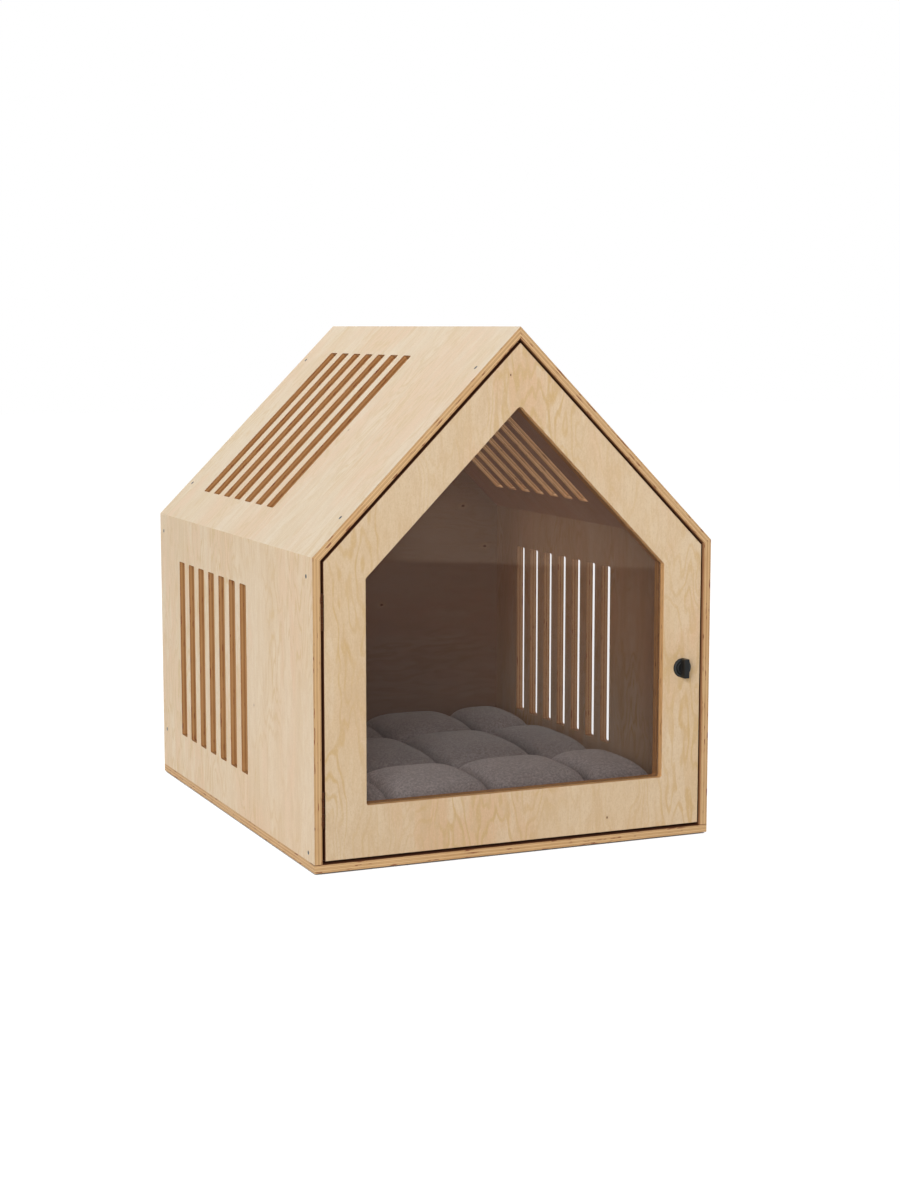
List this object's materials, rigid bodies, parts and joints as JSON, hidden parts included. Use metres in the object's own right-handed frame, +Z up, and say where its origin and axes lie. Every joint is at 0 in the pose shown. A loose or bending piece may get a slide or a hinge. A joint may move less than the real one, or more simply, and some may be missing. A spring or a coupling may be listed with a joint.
{
  "type": "wooden dog house",
  "caption": "Plywood dog house with a steep gable roof, vent slots in walls and roof, a hinged front door with a pointed window and a turn latch, and a quilted cushion inside",
  "frame": {"origin": "middle of the footprint on the ground, knob included", "axes": "+X to the right seen from the front, +Y from the front to the back, +Z up; the door faces -Y"},
  "size_m": [0.62, 0.766, 0.75],
  "materials": {
    "birch_plywood": "clear matt lacquer on sanded birch plywood",
    "smoked_acrylic": "polished, lightly smoked clear sheet",
    "zinc_plated_steel": "bright zinc plate",
    "bronze_hinge_metal": "dark bronze, satin",
    "black_plastic": "satin black moulding",
    "dark_rubber": "matt",
    "quilted_fabric": "soft woven cover, quilted in squares"
  },
  "bodies": {
    "shell": {"back_panel": "birch_plywood", "cushion": "quilted_fabric", "door_buffers": "dark_rubber", "door_stop_frame": "birch_plywood", "floor_panel": "birch_plywood", "floor_screws": "zinc_plated_steel", "foot_pads": "dark_rubber", "hinge_wall_screws": "bronze_hinge_metal", "left_roof_panel": "birch_plywood", "left_wall_panel": "birch_plywood", "lower_hinge_pin": "bronze_hinge_metal", "lower_hinge_wall_leaf": "bronze_hinge_metal", "right_roof_panel": "birch_plywood", "right_wall_panel": "birch_plywood", "shell_screws": "zinc_plated_steel", "strike_plate": "zinc_plated_steel", "strike_plate_screws": "zinc_plated_steel", "upper_hinge_pin": "bronze_hinge_metal", "upper_hinge_wall_leaf": "bronze_hinge_metal"},
    "door": {"door_frame": "birch_plywood", "window_pane": "smoked_acrylic", "pane_retaining_ring": "birch_plywood", "retaining_ring_screws": "zinc_plated_steel", "upper_hinge_door_leaf": "bronze_hinge_metal", "lower_hinge_door_leaf": "bronze_hinge_metal", "hinge_door_screws": "bronze_hinge_metal", "latch_housing": "black_plastic", "latch_nut": "black_plastic"},
    "latch": {"latch_knob": "black_plastic", "latch_spindle": "zinc_plated_steel", "latch_cam": "zinc_plated_steel", "cam_screw": "zinc_plated_steel"}
  },
  "joints": [
    {"name": "door_swing", "type": "hinge", "parent": "shell", "child": "door", "pos_m": [-0.296, -0.367, 0.2275], "axis": [0, 0, -1], "range_deg": [0, 175]},
    {"name": "latch_turn", "type": "hinge", "parent": "door", "child": "latch", "pos_m": [0.264, -0.367, 0.253], "axis": [0, 1, 0], "range_deg": [0, 90]}
  ]
}
